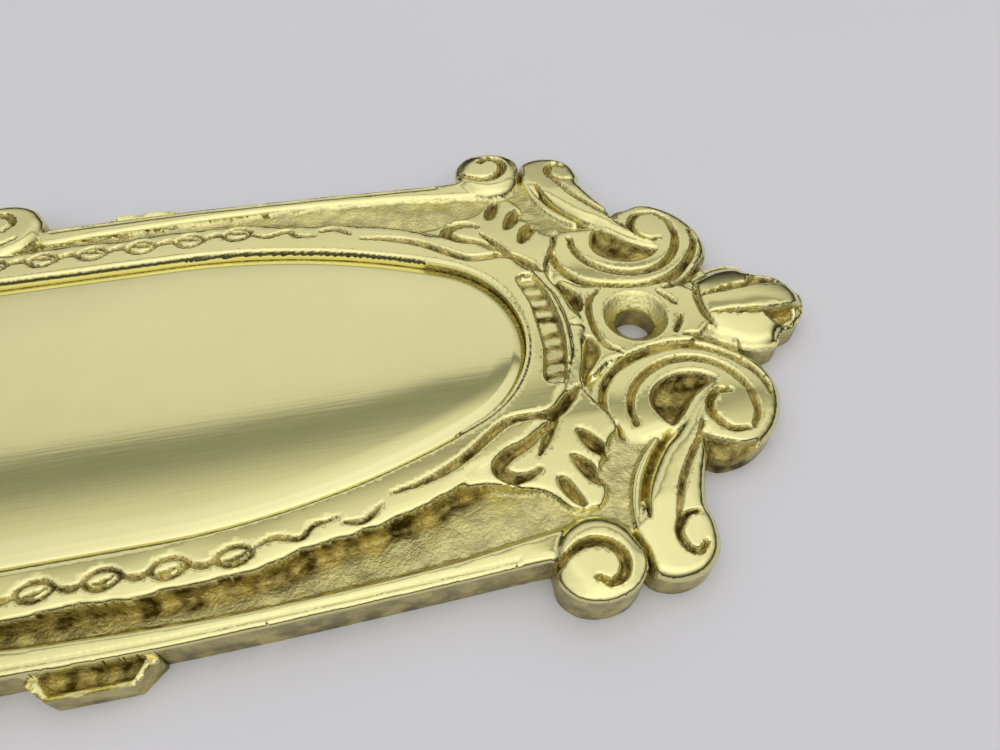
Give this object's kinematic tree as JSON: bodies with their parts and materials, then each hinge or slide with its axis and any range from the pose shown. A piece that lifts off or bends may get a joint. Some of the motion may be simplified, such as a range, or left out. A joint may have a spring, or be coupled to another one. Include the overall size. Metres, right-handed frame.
{
  "type": "letter plate",
  "caption": "Long cast brass letter plate with a sprung oval flap opening inwards, scrolled ornament at its ends and a countersunk screw hole at each end.",
  "frame": {"origin": "middle of the plate's back plane, which bears on the door", "axes": "+X along the plate, +Y towards the hinge edge (upper edge on a door), +Z out of the door"},
  "size_m": [0.254, 0.0746, 0.0063],
  "materials": {
    "plate_brass": "sand cast, hand finished and polished",
    "flap_brass": "sand cast and polished",
    "pin_steel": "bright drawn rod",
    "spring_wire": "drawn spring wire",
    "washer_brass": "turned",
    "clip_steel": "pressed"
  },
  "bodies": {
    "plate": {"front_plate": "plate_brass", "hinge_pin": "pin_steel", "spring_right": "spring_wire", "spring_left": "spring_wire", "spacer_washer_right": "washer_brass", "spacer_washer_left": "washer_brass", "pin_clip_right": "clip_steel", "pin_clip_left": "clip_steel"},
    "flap": {"flap": "flap_brass"}
  },
  "joints": [
    {"name": "flap_hinge", "type": "hinge", "parent": "plate", "child": "flap", "pos_m": [0, 0.024, 0.0022], "axis": [1, 0, 0], "range_deg": [0, 75], "stiffness_Nm_per_rad": 0.08, "springref_deg": -28.65, "deforming": ["spring_right", "spring_left"]}
  ]
}
